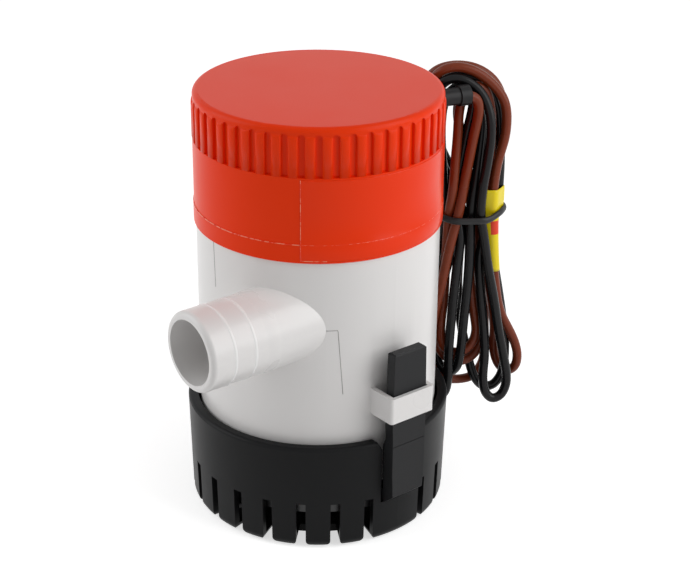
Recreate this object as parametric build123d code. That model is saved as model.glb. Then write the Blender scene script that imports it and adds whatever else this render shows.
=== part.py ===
from build123d import *
from math import cos, pi, radians, sin, tan
import os

# Submersible bilge pump: a black clip-on strainer base, a white pump housing with a side
# hose spigot, and a red motor cap with the wires coming out of its back.
# Millimetres, +Z up. The origin is the centre of the strainer's underside, on the motor's
# axis. The spigot points along -Y and the two latch tabs stand at +X and -X.

# ---- overall -------------------------------------------------------------------------
HEIGHT = 108.5            # floor to the top of the cap
BODY_R = 29.8             # pump housing, outside
WALL = 2.2                # moulded walls
SEAT_GAP = 0.05           # pieces seated in each other, all round
RUN_GAP = 0.03            # shaft in its bushes
CLEAR = 0.2               # loose fits of moulded pieces

# ---- strainer base -------------------------------------------------------------------
BASE_GAP = 0.8            # housing to strainer wall
BASE_WALL = 2.4           # at the rim
BASE_DRAFT = 0.7          # the wall is this much smaller where its lower edge starts to round
BASE_RIM_Z = 28.4
FLOOR_T = 2.0
FOOT_ROUND = 2.5
RIM_ROUND = 0.9
SLOT_COUNT = 24           # pitches round the wall; the two at the latches stay closed
SLOT_W = 2.4
SLOT_TOP = 12.7
SLOT_INWARD = 6.1         # the slots run on under the floor, inward of the wall
FINGER_ROUND = 2.2        # lower corners of the fingers between slots
SEAT_Z = 9.0              # the housing's lower edge stands here
SEAT_RIBS = 8
SEAT_RIB_T = 1.6
MOUNT_SPACING = 34.0      # two countersunk floor holes, along Y
MOUNT_HOLE_R = 2.2
MOUNT_HEAD_R = 4.0

# ---- latch tabs ----------------------------------------------------------------------
TAB_PROUD = 2.9           # the tab's face stands this far out from the rim
TAB_T = 2.8               # upper part
TAB_LOW_T = 3.6           # in the strainer's wall
TAB_FOOT_Z = 11.2
TAB_FOOT_T = 1.65
TAB_FOOT_GAP = 0.35       # foot to the inside of the wall
TAB_SLOPE_Z = 14.0        # the foot slopes out to the face up to here
TAB_WIDE_Z = 20.0         # the tab widens from the foot to here ...
TAB_MID_Z = 34.0          # ... and again to here
TAB_TOP_Z = 52.7
TAB_FOOT_HALF_W = 4.55
TAB_LOW_HALF_W = 4.98
TAB_MID_HALF_W = 5.15
TAB_TOP_HALF_W = 4.75
TAB_CREASE_Z = 28.0       # fine line across the face
TAB_CREASE_W = 0.2
TAB_CREASE_DEPTH = 0.12
TAB_SLIT = 0.3            # between the tab and the strainer's wall
TAB_NOTCH_W = 1.3         # the slits open out at the rim by this much ...
TAB_NOTCH_H = 2.4         # ... over this height
TAB_HINGE_GAP = 0.15      # below the tab's foot, where it bends
TAB_EDGE = 0.35

# ---- housing -------------------------------------------------------------------------
CAP_Z = 75.9              # the cap's skirt ends here
NECK_TOP_Z = 84.0
NECK_STEP = 1.6           # the neck inside the cap is this much smaller than the housing
NECK_WALL = 2.4
LOOP_LOW_Z = 35.3         # strap loops that the tabs stand through
LOOP_TOP_Z = 42.0
LOOP_WALL = 0.95
LOOP_SIDE = 1.25
LOOP_ROUND = 0.4
BOSS_R = 3.0
BOSS_TOP_Z = 24.0
BOSS_PILOT_R = 1.1
BOSS_PILOT_DEPTH = 9.0
SCREW_COUNT = 3
SCREW_INSET = 2.6         # screw axis to the housing's inside
SCREW_START_DEG = 90.0
SCREW_HEAD_R = 2.4
SCREW_HEAD_H = 1.5
SCREW_HEAD_ROUND = 0.7
SCREW_CROSS = (2.6, 0.6, 0.7)   # recess: length, width, depth

# ---- hose spigot ---------------------------------------------------------------------
SPIGOT_X = 14.8
SPIGOT_Z = 58.6
SPIGOT_R = 9.75           # takes a 19 mm bore hose
SPIGOT_BORE_R = 7.9
SPIGOT_MOUTH_Y = -48.3
SPIGOT_MOUTH_ROUND = 1.2
SPIGOT_ROOT_STEP = 0.1    # slightly fuller root, the hose's stop
SPIGOT_ROOT_Y = -31.0
RING_YS = (-42.0, -36.4)
RING_W = 0.6
RING_DEPTH = 0.25

# ---- inlet plate and impeller --------------------------------------------------------
PLATE_LOW_Z = 9.8
PLATE_T = 2.4
EYE_R = 8.5
EYE_ROUND = 1.0
IMPELLER_R = 17.5
IMPELLER_HUB_R = 4.2
VANE_GAP = 0.7            # vanes above the plate
VANE_H = 5.9
VANE_T = 1.4
VANE_COUNT = 6
VANE_IN_R = 6.2
VANE_SWEEP_DEG = 62.0
SHROUD_T = 1.4
HUB_COLLAR = 1.2

# ---- motor ---------------------------------------------------------------------------
CUP_R = 20.0
CUP_WALL = 1.8
CUP_FLOOR_Z = 26.0
CUP_FLOOR_T = 3.5
CUP_BOSS_R = 8.5
CUP_BOSS_Z = 22.2
FLANGE_INSET = 0.2        # flange to the neck's outside
FLANGE_T = 2.0
GASKET_T = 1.0
SEAL_R = 6.0
SEAL_T = 3.8
RETAINER_T = 0.8
SHAFT_R = 1.6
SHAFT_HOLE_R = 2.2
CAN_GAP = 0.3             # steel can in the cup
CAN_WALL = 1.0
CAN_NOSE_R = 6.5
CAN_NOSE_H = 1.5
CAN_NOSE_RECESS = 1.7
BUSH_R = 3.9
BUSH_L = 4.0
MAGNET_T = 4.9            # with its glue gap to the can
MAGNET_SPAN_DEG = 130.0
MAGNET_L = 34.0
AIR_GAP = 1.2             # magnets to the turning core
CORE_L = 26.0
CORE_LOW_Z = 41.0
CORE_POLES = 5
CORE_NECK_W = 3.0
CORE_SHOE_T = 1.6
COIL_END = 4.8            # how far the windings stand past the core
COMM_R = 5.0
COMM_L = 8.5
COMM_SLIT = 0.5
BRUSH_GAP = 0.06          # brush to commutator
BRUSH_W = 3.6
BRUSH_H = 5.0
HOLDER_WALL = 0.4
HOLDER_CAN_GAP = 0.8      # closed end of a holder to the can
SPRING_SPACE = 4.84       # left behind each new brush
SPRING_R = 1.3
SPRING_WIRE_R = 0.22
SPRING_TURNS = 4
BELL_Z = 81.0             # lower face of the end bell
BELL_RIM_T = 2.0
TERMINAL_INSET = 5.9      # terminal to the can's inside
TERMINAL_TOP = 6.0

# ---- cap -----------------------------------------------------------------------------
SKIRT_PROUD = 0.4         # beyond the housing
SKIRT_FOOT_PROUD = 0.15   # lowest band, beyond the skirt
SKIRT_FOOT_Z = 80.4
RIB_PROUD = 0.2           # beyond the housing
RIB_LOW_Z = 96.6
RIB_TOP_Z = 106.9
RIB_COUNT = 48
RIB_DEPTH = 0.7
RIB_GROOVE = 0.42         # share of the pitch
CAP_TOP_ROUND = 1.3
CAP_SHOULDER_INSET = 2.2  # ledge over the cup's flange
HOLD_RING_INSET = 0.7     # ring under the top that keeps the motor down
HOLD_RING_WALL = 1.7
SKIRT_GAP = 0.1           # cap to neck
ORING_R = 0.85
ORING_Z = 80.0
ORING_SEAT = 0.02         # O-ring to the walls either side of it

# ---- wires ---------------------------------------------------------------------------
LEAD_D = 2.5
GLAND_DEG = 75.0
GLAND_Z = 101.3
GLAND_R = 2.2
GLAND_COLLAR_R = 2.6
GLAND_FLANGE_R = 3.6
GLAND_SLEEVE = 7.2        # plain sleeve outside the cap's ribs
GLAND_COLLAR = 2.8        # thicker end
LEAD_APART = 1.3          # each wire's axis to the gland's axis
PORT_R = 4.0
PORT_OUT = 1.0
HANK_OUT = 13.54          # middle of the hank to the housing's wall
HANK_BEARING = 78.69
HANK_DEG = 61.3           # direction of the hank's broad side
HANK_CLEAR = 1.4          # hollow of the hank's back to the housing's wall
HANK_BASE_CLEAR = 0.4     # and to the strainer's rim
TIE_Z = 68.5
TIE_H = 1.3
TIE_T = 1.0
TIE_WIDTHS = (16.6, 10.7)       # inside: across, and front to back
TIE_MIDDLE = (-0.35, 0.35)      # across, backward
TIE_ROUNDS = (4.0, 3.0)
TAG_T = 0.4
TAG_ACROSS = (2.5, 7.0)
TAG_HEIGHT = (52.7, 75.5)
TAG_FRONT = 4.85

# Outline of the hank, seen from its broad side: (across, up), with the corner radii.
HANK_OUTLINE = (
    (-11.8, 19.0), (-11.6, 34.0), (-8.7, 67.0), (-14.4, 88.0), (-14.4, 100.0),
    (-11.0, 107.9), (4.6, 107.9), (9.7, 97.0), (7.9, 68.0), (14.9, 30.0), (13.4, 18.5),
    (7.5, 14.9), (-6.0, 14.9),
)
HANK_OUTLINE_ROUNDS = (4.0, 12.0, 12.0, 8.0, 6.0, 4.0, 5.0, 8.0, 14.0, 5.0, 3.0, 3.0, 4.0)

# Outline of the hank, seen from its narrow side: (backward, up).
HANK_SIDE = (
    (-4.4, 14.9), (-4.8, 20.0), (-4.8, 44.0), (-4.4, 50.0), (-4.4, 79.0), (-5.3, 88.0),
    (-5.6, 100.0), (-4.4, 107.9), (6.8, 107.9), (8.1, 98.0), (7.9, 88.0), (5.6, 70.0),
    (5.6, 66.0), (6.2, 45.0), (5.6, 20.0), (4.4, 14.9),
)

# Lead routes from just outside the gland to the tie: (across, forward, up) in the hank's
# frame. Each starts with a short straight run out of the gland.
LEAD_STRAIGHT = 3.0
BROWN_ROUTE = ((2.8, 3.9, 98.7), (3.0, 3.8, 93.6), (1.2, 3.6, 85.0),
               (-1.4, 3.3, 76.0), (-2.6, 3.1, 67.0))
BLACK_ROUTE = ((1.9, 1.2, 98.6), (1.6, 0.9, 93.4), (-1.2, 0.7, 85.0),
               (-4.0, 0.6, 76.0), (-5.0, 0.6, 67.0))

# ---- sizes that follow from those ----------------------------------------------------
BODY_IN_R = BODY_R - WALL
BASE_IN_R = BODY_R + BASE_GAP
BASE_RIM_R = BASE_IN_R + BASE_WALL
BASE_FOOT_R = BASE_RIM_R - BASE_DRAFT
SLOT_IN_R = BASE_IN_R - SLOT_INWARD
TAB_FACE_X = BASE_RIM_R + TAB_PROUD
TAB_FOOT_X = BASE_IN_R + TAB_FOOT_GAP
TAB_WINDOW_HALF_W = TAB_LOW_HALF_W + TAB_SLIT
SCREW_RING_R = BODY_IN_R - SCREW_INSET
LOOP_FACE_X = TAB_FACE_X + CLEAR + LOOP_WALL
LOOP_WINDOW_HALF_W = TAB_MID_HALF_W + CLEAR
PLATE_TOP_Z = PLATE_LOW_Z + PLATE_T
VANE_LOW_Z = PLATE_TOP_Z + VANE_GAP
SHROUD_LOW_Z = VANE_LOW_Z + VANE_H
SHROUD_TOP_Z = SHROUD_LOW_Z + SHROUD_T
HUB_TOP_Z = SHROUD_TOP_Z + HUB_COLLAR
SHAFT_LOW_Z = VANE_LOW_Z + 1.5
NECK_R = BODY_R - NECK_STEP
NECK_IN_R = NECK_R - NECK_WALL
SKIRT_IN_R = NECK_R + SKIRT_GAP
ORING_RING_R = SKIRT_IN_R - ORING_R - ORING_SEAT
FLANGE_R = NECK_R - FLANGE_INSET
CAP_SHOULDER_R = NECK_R - CAP_SHOULDER_INSET
SKIRT_R = BODY_R + SKIRT_PROUD
SKIRT_FOOT_R = SKIRT_R + SKIRT_FOOT_PROUD
RIB_R = BODY_R + RIB_PROUD
FLANGE_LOW_Z = NECK_TOP_Z + GASKET_T
FLANGE_TOP_Z = FLANGE_LOW_Z + FLANGE_T
CUP_IN_R = CUP_R - CUP_WALL
CAN_R = CUP_IN_R - CAN_GAP
HOLD_RING_R = CAN_R - HOLD_RING_INSET
MOTOR_LOW_Z = CUP_FLOOR_Z + CUP_FLOOR_T
CAN_TOP_Z = FLANGE_LOW_Z
CAN_IN_R = CAN_R - CAN_WALL
MAGNET_IN_R = CAN_IN_R - MAGNET_T
CORE_R = MAGNET_IN_R - AIR_GAP
TERMINAL_X = CAN_IN_R - TERMINAL_INSET
NOSE_LOW_Z = MOTOR_LOW_Z - CAN_NOSE_H
SEAL_LOW_Z = CUP_BOSS_Z + RETAINER_T
SEAL_TOP_Z = SEAL_LOW_Z + SEAL_T
LOWER_BUSH_Z = NOSE_LOW_Z + 0.3
CORE_TOP_Z = CORE_LOW_Z + CORE_L
COMM_LOW_Z = CORE_TOP_Z + COIL_END + 0.7
COMM_TOP_Z = COMM_LOW_Z + COMM_L
BRUSH_MID_Z = COMM_LOW_Z + COMM_L / 2
BRUSH_FROM = COMM_R + BRUSH_GAP
HOLDER_END_X = CAN_IN_R - HOLDER_CAN_GAP
BRUSH_L = HOLDER_END_X - HOLDER_WALL - BRUSH_FROM - SPRING_SPACE
UPPER_BUSH_Z = BELL_Z + 3.6
SHAFT_TOP_Z = UPPER_BUSH_Z + BUSH_L - 0.6
BELL_TOP_Z = CAN_TOP_Z + BELL_RIM_T
LEAD_R = LEAD_D / 2
GLAND_COLLAR_FROM = RIB_R + GLAND_SLEEVE    # distances from the motor's axis
GLAND_END = GLAND_COLLAR_FROM + GLAND_COLLAR
HANK_REACH = BODY_R + HANK_OUT
HANK_CENTRE = (HANK_REACH * cos(radians(HANK_BEARING)), HANK_REACH * sin(radians(HANK_BEARING)))

# ---- helpers -------------------------------------------------------------------------


def turned(*outline):
    """A closed (radius, height) outline turned about the motor's axis."""
    face = make_face(Polyline(*[(r, 0, z) for r, z in outline], close=True))
    return revolve(face, Axis.Z)


def ring(r_out, r_in, z_low, z_high):
    return turned((r_in, z_low), (r_out, z_low), (r_out, z_high), (r_in, z_high))


def rod(radius, z_low, z_high, x=0.0, y=0.0):
    body = Cylinder(radius, z_high - z_low, align=(Align.CENTER, Align.CENTER, Align.MIN))
    return Pos(x, y, z_low) * body


def block(x_range, y_range, z_range):
    """A box from its low and high values on each axis."""
    size = [high - low for low, high in (x_range, y_range, z_range)]
    middle = [(low + high) / 2 for low, high in (x_range, y_range, z_range)]
    return Pos(*middle) * Box(*size)


def around(piece, count, start=0.0):
    """Copies of a piece at even angles about the motor's axis."""
    return [Rot(0, 0, start + 360 * i / count) * piece for i in range(count)]


def radial_rod(radius, from_r, to_r, degrees, z):
    """A rod that points away from the motor's axis."""
    body = Cylinder(radius, to_r - from_r, align=(Align.CENTER, Align.CENTER, Align.MIN))
    return Rot(0, 0, degrees) * Pos(from_r, 0, z) * Rot(0, 90, 0) * body


def along_y(radius, y_low, y_high, x, z):
    body = Cylinder(radius, y_high - y_low)
    return Pos(x, (y_low + y_high) / 2, z) * Rot(90, 0, 0) * body


def corner_radii(points):
    """The largest arc for each corner of a lead: 0.45 of its shorter run."""
    radii = []
    for before, corner, after in zip(points, points[1:], points[2:]):
        run_in = Vector(*corner) - Vector(*before)
        run_out = Vector(*after) - Vector(*corner)
        turn = radians(run_in.get_angle(run_out))
        shorter = min(run_in.length, run_out.length)
        radii.append(0.45 * shorter / tan(turn / 2))
    return radii


def lead_tube(name, points):
    """A round wire along straight runs joined by tangent arcs."""
    radii = corner_radii(points)
    path = FilletPolyline(*points, radius=radii)
    section = Plane(origin=path @ 0, z_dir=path % 0) * Circle(LEAD_R)
    tube = sweep(section, path=path)
    print(name, "arc radii", [round(r, 1) for r in radii], "length", round(path.length, 1))
    return tube


# ---- strainer base -------------------------------------------------------------------


def strainer_slot():
    """One water slot: square at the top, flared between the rounded finger ends."""
    half = SLOT_W / 2
    flare = half + FINGER_ROUND
    outline = [
        Line((-half, SLOT_TOP), (half, SLOT_TOP)),
        Line((half, SLOT_TOP), (half, FINGER_ROUND)),
        RadiusArc((half, FINGER_ROUND), (flare, 0), -FINGER_ROUND),
        Line((flare, 0), (flare, -1)),
        Line((flare, -1), (-flare, -1)),
        Line((-flare, -1), (-flare, 0)),
        RadiusArc((-flare, 0), (-half, FINGER_ROUND), -FINGER_ROUND),
        Line((-half, FINGER_ROUND), (-half, SLOT_TOP)),
    ]
    face = Plane.YZ * make_face(outline)
    return Pos(SLOT_IN_R, 0, 0) * extrude(face, amount=BASE_RIM_R - SLOT_IN_R + 3, dir=(1, 0, 0))


def strainer_shell():
    """Wall and floor in one turned profile, rounded at the foot and at the rim."""
    wall = [
        Line((0, 0), (BASE_FOOT_R - FOOT_ROUND, 0)),
        RadiusArc((BASE_FOOT_R - FOOT_ROUND, 0), (BASE_FOOT_R, FOOT_ROUND), -FOOT_ROUND),
        Line((BASE_FOOT_R, FOOT_ROUND), (BASE_RIM_R, BASE_RIM_Z - RIM_ROUND)),
        RadiusArc((BASE_RIM_R, BASE_RIM_Z - RIM_ROUND), (BASE_RIM_R - RIM_ROUND, BASE_RIM_Z), -RIM_ROUND),
        Line((BASE_RIM_R - RIM_ROUND, BASE_RIM_Z), (BASE_IN_R, BASE_RIM_Z)),
        Line((BASE_IN_R, BASE_RIM_Z), (BASE_IN_R, FLOOR_T)),
        Line((BASE_IN_R, FLOOR_T), (0, FLOOR_T)),
        Line((0, FLOOR_T), (0, 0)),
    ]
    return revolve(Plane.XZ * make_face(wall), Axis.Z)


def tab_window():
    """Opening in the wall for a latch tab, at +X: a slit each side that widens at the rim."""
    half = TAB_WINDOW_HALF_W
    low = TAB_FOOT_Z - TAB_HINGE_GAP
    flare_z = BASE_RIM_Z - TAB_NOTCH_H
    top = BASE_RIM_Z + 1
    wide = half + TAB_NOTCH_W * (top - flare_z) / TAB_NOTCH_H
    outline = Polyline((0, -half, low), (0, -half, flare_z), (0, -wide, top), (0, wide, top),
                       (0, half, flare_z), (0, half, low), close=True)
    return Pos(BASE_IN_R - 3, 0, 0) * extrude(make_face(outline), amount=8, dir=(1, 0, 0))


def strainer_base():
    base = strainer_shell()
    base -= [tab_window(), Rot(0, 0, 180) * tab_window()]
    slots = around(strainer_slot(), SLOT_COUNT)
    base -= [slot for i, slot in enumerate(slots) if i % (SLOT_COUNT // 2) != 0]
    seat = block((BASE_IN_R - 2.6, BASE_IN_R + 0.4), (-SEAT_RIB_T / 2, SEAT_RIB_T / 2),
                 (FLOOR_T - 0.5, SEAT_Z - SEAT_GAP))
    for rib in around(seat, SEAT_RIBS, start=180 / SEAT_RIBS):
        base += rib
    for side in (-1, 1):
        y = side * MOUNT_SPACING / 2
        sink = Cone(MOUNT_HOLE_R, MOUNT_HEAD_R, FLOOR_T * 0.6,
                    align=(Align.CENTER, Align.CENTER, Align.MAX))
        base -= rod(MOUNT_HOLE_R, -1, FLOOR_T + 1, y=y)
        base -= Pos(0, y, FLOOR_T) * sink
    return base


def latch_tab(side):
    """Springy tab: its foot bends at the strainer, its head stands through a strap loop."""
    back = TAB_FACE_X - TAB_T
    low_back = TAB_FACE_X - TAB_LOW_T
    profile = Polyline(
        (TAB_FOOT_X, 0, TAB_FOOT_Z), (TAB_FOOT_X + TAB_FOOT_T, 0, TAB_FOOT_Z),
        (TAB_FACE_X, 0, TAB_SLOPE_Z), (TAB_FACE_X, 0, TAB_TOP_Z), (back, 0, TAB_TOP_Z),
        (back, 0, BASE_RIM_Z + 1), (low_back, 0, BASE_RIM_Z - 1),
        (low_back, 0, TAB_SLOPE_Z + 1), (TAB_FOOT_X, 0, TAB_SLOPE_Z), close=True)
    side_view = extrude(make_face(profile), amount=10, dir=(0, 1, 0), both=True)
    right_edge = ((TAB_FOOT_HALF_W, TAB_FOOT_Z), (TAB_LOW_HALF_W, TAB_WIDE_Z),
                  (TAB_LOW_HALF_W, BASE_RIM_Z), (TAB_MID_HALF_W, TAB_MID_Z),
                  (TAB_TOP_HALF_W, TAB_TOP_Z))
    front = [(0, y, z) for y, z in right_edge] + [(0, -y, z) for y, z in reversed(right_edge)]
    front_view = extrude(make_face(Polyline(*front, close=True)), amount=TAB_FACE_X + 10, dir=(1, 0, 0))
    tab = side_view & front_view
    tab = chamfer(tab.edges().group_by(Axis.Z)[-1], TAB_EDGE)
    tab -= block((TAB_FACE_X - TAB_CREASE_DEPTH, TAB_FACE_X + 1), (-10, 10),
                 (TAB_CREASE_Z - TAB_CREASE_W / 2, TAB_CREASE_Z + TAB_CREASE_W / 2))
    return tab if side > 0 else Rot(0, 0, 180) * tab


# ---- pump housing --------------------------------------------------------------------


def housing_shell():
    """Outside of the housing, solid: the plain wall and the neck that the cap goes over."""
    return rod(BODY_R, SEAT_Z, CAP_Z) + rod(NECK_R, CAP_Z, NECK_TOP_Z)


def spigot_outside():
    """Hose spigot with two ring lines, a rounded mouth and a slightly fuller root."""
    y_in = -BODY_IN_R / 3
    body = along_y(SPIGOT_R, SPIGOT_MOUTH_Y, y_in, SPIGOT_X, SPIGOT_Z)
    body = fillet(body.edges().group_by(Axis.Y)[0], SPIGOT_MOUTH_ROUND)
    for y in RING_YS:
        groove = along_y(SPIGOT_R + 1, y - RING_W / 2, y + RING_W / 2, SPIGOT_X, SPIGOT_Z)
        core = along_y(SPIGOT_R - RING_DEPTH, y - 1, y + 1, SPIGOT_X, SPIGOT_Z)
        body -= groove - core
    root_r = SPIGOT_R + SPIGOT_ROOT_STEP
    return body + along_y(root_r, SPIGOT_ROOT_Y, y_in, SPIGOT_X, SPIGOT_Z)


def strap_loop():
    """Square loop on the housing's wall that a latch tab stands through, at +X."""
    half = LOOP_WINDOW_HALF_W + LOOP_SIDE
    outer = block((BODY_IN_R, LOOP_FACE_X), (-half, half), (LOOP_LOW_Z, LOOP_TOP_Z))
    outer = fillet(outer.edges().filter_by(Axis.Z).group_by(Axis.X)[-1], LOOP_ROUND * 2)
    window = block((0, LOOP_FACE_X - LOOP_WALL), (-LOOP_WINDOW_HALF_W, LOOP_WINDOW_HALF_W),
                   (LOOP_LOW_Z - 1, LOOP_TOP_Z + 1))
    return outer - window


def pump_housing():
    housing = housing_shell() + spigot_outside()
    for side in (0, 180):
        housing += Rot(0, 0, side) * strap_loop()
    housing -= rod(BODY_IN_R, SEAT_Z - 1, CAP_Z - WALL)
    housing -= rod(NECK_IN_R, CAP_Z - WALL - 1, NECK_TOP_Z + 1)
    housing -= along_y(SPIGOT_BORE_R, SPIGOT_MOUTH_Y - 1, -BODY_IN_R / 3 + 1, SPIGOT_X, SPIGOT_Z)
    groove_r = ORING_RING_R - ORING_R - ORING_SEAT
    housing -= ring(NECK_R + 1, groove_r, ORING_Z - ORING_R - 0.05, ORING_Z + ORING_R + 0.05)
    boss = rod(BOSS_R, PLATE_TOP_Z, BOSS_TOP_Z, x=SCREW_RING_R) & rod(BODY_R - 0.5, 0, HEIGHT)
    pilot = rod(BOSS_PILOT_R, PLATE_TOP_Z - 1, PLATE_TOP_Z + BOSS_PILOT_DEPTH, x=SCREW_RING_R)
    for post, hole in zip(around(boss, SCREW_COUNT, SCREW_START_DEG),
                          around(pilot, SCREW_COUNT, SCREW_START_DEG)):
        housing += post
        housing -= hole
    return housing


# ---- inlet plate and impeller --------------------------------------------------------


def inlet_plate():
    plate = rod(BODY_IN_R - CLEAR, PLATE_LOW_Z, PLATE_TOP_Z)
    eye = rod(EYE_R, PLATE_LOW_Z - 1, PLATE_TOP_Z + 1)
    plate -= eye
    plate = fillet(plate.edges().filter_by(GeomType.CIRCLE).group_by(Axis.Z)[0].sort_by(
        SortBy.RADIUS)[0], EYE_ROUND)
    hole = rod(BOSS_PILOT_R + 0.5, PLATE_LOW_Z - 1, PLATE_TOP_Z + 1, x=SCREW_RING_R)
    return plate - around(hole, SCREW_COUNT, SCREW_START_DEG)


def plate_screws():
    """Pan-head screws that hold the inlet plate, with a cross recess."""
    top_z = PLATE_LOW_Z - SCREW_HEAD_H
    head = rod(SCREW_HEAD_R, top_z, PLATE_LOW_Z, x=SCREW_RING_R)
    head = fillet(head.edges().group_by(Axis.Z)[0], SCREW_HEAD_ROUND)
    shank = rod(BOSS_PILOT_R - SEAT_GAP, PLATE_LOW_Z, PLATE_TOP_Z + BOSS_PILOT_DEPTH - 1,
                x=SCREW_RING_R)
    screw = head + shank
    length, width, depth = SCREW_CROSS
    for size in ((length, width), (width, length)):
        screw -= Pos(SCREW_RING_R, 0, top_z) * Box(*size, 2 * depth)
    return Compound(around(screw, SCREW_COUNT, SCREW_START_DEG))


def impeller():
    """Open impeller: a back disc with backward-curved vanes below it, blind on the shaft."""
    wheel = rod(IMPELLER_R, SHROUD_LOW_Z, SHROUD_TOP_Z) + rod(IMPELLER_HUB_R, VANE_LOW_Z, HUB_TOP_Z)
    tip_r = IMPELLER_R - VANE_T / 2
    mid_r = (VANE_IN_R + tip_r) / 2
    sweep_back = radians(VANE_SWEEP_DEG)
    curve = ThreePointArc(
        (VANE_IN_R, 0),
        (mid_r * cos(sweep_back * 0.38), -mid_r * sin(sweep_back * 0.38)),
        (tip_r * cos(sweep_back), -tip_r * sin(sweep_back)))
    vane = extrude(Pos(0, 0, VANE_LOW_Z) * trace(curve, VANE_T), amount=VANE_H + SHROUD_T / 2)
    for blade in around(vane, VANE_COUNT):
        wheel += blade
    return wheel - rod(SHAFT_R + 0.01, SHAFT_LOW_Z, HUB_TOP_Z + 1)


# ---- motor ---------------------------------------------------------------------------


def motor_cup():
    """Dry cup that hangs in the housing; water passes up round its outside."""
    cup = turned(
        (0, CUP_FLOOR_Z), (CUP_R, CUP_FLOOR_Z), (CUP_R, FLANGE_LOW_Z), (FLANGE_R, FLANGE_LOW_Z),
        (FLANGE_R, FLANGE_TOP_Z), (CUP_IN_R, FLANGE_TOP_Z), (CUP_IN_R, MOTOR_LOW_Z), (0, MOTOR_LOW_Z))
    cup += rod(CUP_BOSS_R, CUP_BOSS_Z, CUP_FLOOR_Z)
    cup -= rod(SEAL_R, CUP_BOSS_Z - 1, SEAL_TOP_Z)
    cup -= rod(CAN_NOSE_R + CLEAR, MOTOR_LOW_Z - CAN_NOSE_RECESS, MOTOR_LOW_Z + 1)
    return cup - rod(SHAFT_HOLE_R, CUP_BOSS_Z, MOTOR_LOW_Z + 1)


def shaft_seal():
    """Lip seal: a rubber cup whose lip runs on the shaft."""
    outer = SEAL_R - SEAT_GAP
    lip = SHAFT_R + RUN_GAP
    return turned(
        (lip, SEAL_LOW_Z), (lip + 0.5, SEAL_LOW_Z), (lip + 1.6, SEAL_TOP_Z - 1.2),
        (outer - 1.2, SEAL_TOP_Z - 1.2), (outer - 1.2, SEAL_LOW_Z), (outer, SEAL_LOW_Z),
        (outer, SEAL_TOP_Z), (lip + 0.6, SEAL_TOP_Z), (lip, SEAL_LOW_Z + 0.5))


def seal_retainer():
    return ring(SEAL_R - SEAT_GAP, SHAFT_HOLE_R + CLEAR, CUP_BOSS_Z, CUP_BOSS_Z + RETAINER_T)


def motor_can():
    """Drawn steel can with a nose for the lower bush."""
    can = rod(CAN_R, MOTOR_LOW_Z, CAN_TOP_Z) - rod(CAN_IN_R, MOTOR_LOW_Z + CAN_WALL, CAN_TOP_Z + 1)
    can += rod(CAN_NOSE_R, NOSE_LOW_Z, MOTOR_LOW_Z + CAN_WALL)
    return can - rod(BUSH_R + SEAT_GAP, NOSE_LOW_Z - 1, MOTOR_LOW_Z + CAN_WALL + 1)


def bush(z_low):
    return ring(BUSH_R, SHAFT_R + RUN_GAP, z_low, z_low + BUSH_L)


def magnets():
    """Two ferrite arcs inside the can."""
    mid_z = CORE_LOW_Z + CORE_L / 2
    tube = ring(CAN_IN_R - SEAT_GAP, MAGNET_IN_R, mid_z - MAGNET_L / 2, mid_z + MAGNET_L / 2)
    gap_half = radians((180 - MAGNET_SPAN_DEG) / 2)
    reach = CAN_R * 1.2
    wedge = make_face(Polyline((0, 0), (reach * cos(gap_half), reach * sin(gap_half)),
                               (reach * cos(gap_half), -reach * sin(gap_half)), close=True))
    cutter = extrude(wedge, amount=HEIGHT)
    return tube - [cutter, Rot(0, 0, 180) * cutter]


def core_section():
    """Lamination: a hub, poles and curved pole shoes."""
    hub_r = SHAFT_R + 2.6
    section = Circle(hub_r)
    shoe_ring = Circle(CORE_R) - Circle(CORE_R - CORE_SHOE_T)
    slot_gap = Pos(CORE_R, 0) * Rectangle(CORE_SHOE_T * 4, 1.8)
    for i in range(CORE_POLES):
        shoe_ring -= Rot(0, 0, 360 * (i + 0.5) / CORE_POLES) * slot_gap
    section += shoe_ring
    for i in range(CORE_POLES):
        limb = Pos(CORE_R / 2, 0) * Rectangle(CORE_R - CORE_SHOE_T / 2, CORE_NECK_W)
        section += Rot(0, 0, 360 * i / CORE_POLES) * limb
    return section - Circle(SHAFT_R + 0.01)


def armature_core():
    return extrude(Pos(0, 0, CORE_LOW_Z) * core_section(), amount=CORE_L)


def windings():
    """Copper coils: one bundle in each core slot, joined by the end turns."""
    low, high = CORE_LOW_Z - COIL_END, CORE_TOP_Z + COIL_END
    out_r = CORE_R - CORE_SHOE_T - 0.3
    in_r = SHAFT_R + 2.6 + 0.2
    coil = Part()
    for z_from, z_to in ((low, CORE_LOW_Z - 0.05), (CORE_TOP_Z + 0.05, high)):
        coil += ring(out_r, in_r, z_from, z_to)
    slot_fill = (Circle(out_r) - Circle(in_r))
    for i in range(CORE_POLES):
        limb = Pos(CORE_R / 2, 0) * Rectangle(CORE_R * 1.2, CORE_NECK_W + 0.4)
        slot_fill -= Rot(0, 0, 360 * i / CORE_POLES) * limb
    coil += extrude(Pos(0, 0, low + 1) * slot_fill, amount=high - low - 2)
    return coil


def commutator():
    barrel = ring(COMM_R, SHAFT_R + 0.01, COMM_LOW_Z, COMM_TOP_Z)
    slit = block((COMM_R - 1.2, COMM_R + 1), (-COMM_SLIT / 2, COMM_SLIT / 2),
                 (COMM_LOW_Z + 1, COMM_TOP_Z + 1))
    return barrel - around(slit, CORE_POLES)


def rotor_shaft():
    return rod(SHAFT_R, SHAFT_LOW_Z, SHAFT_TOP_Z)


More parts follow.
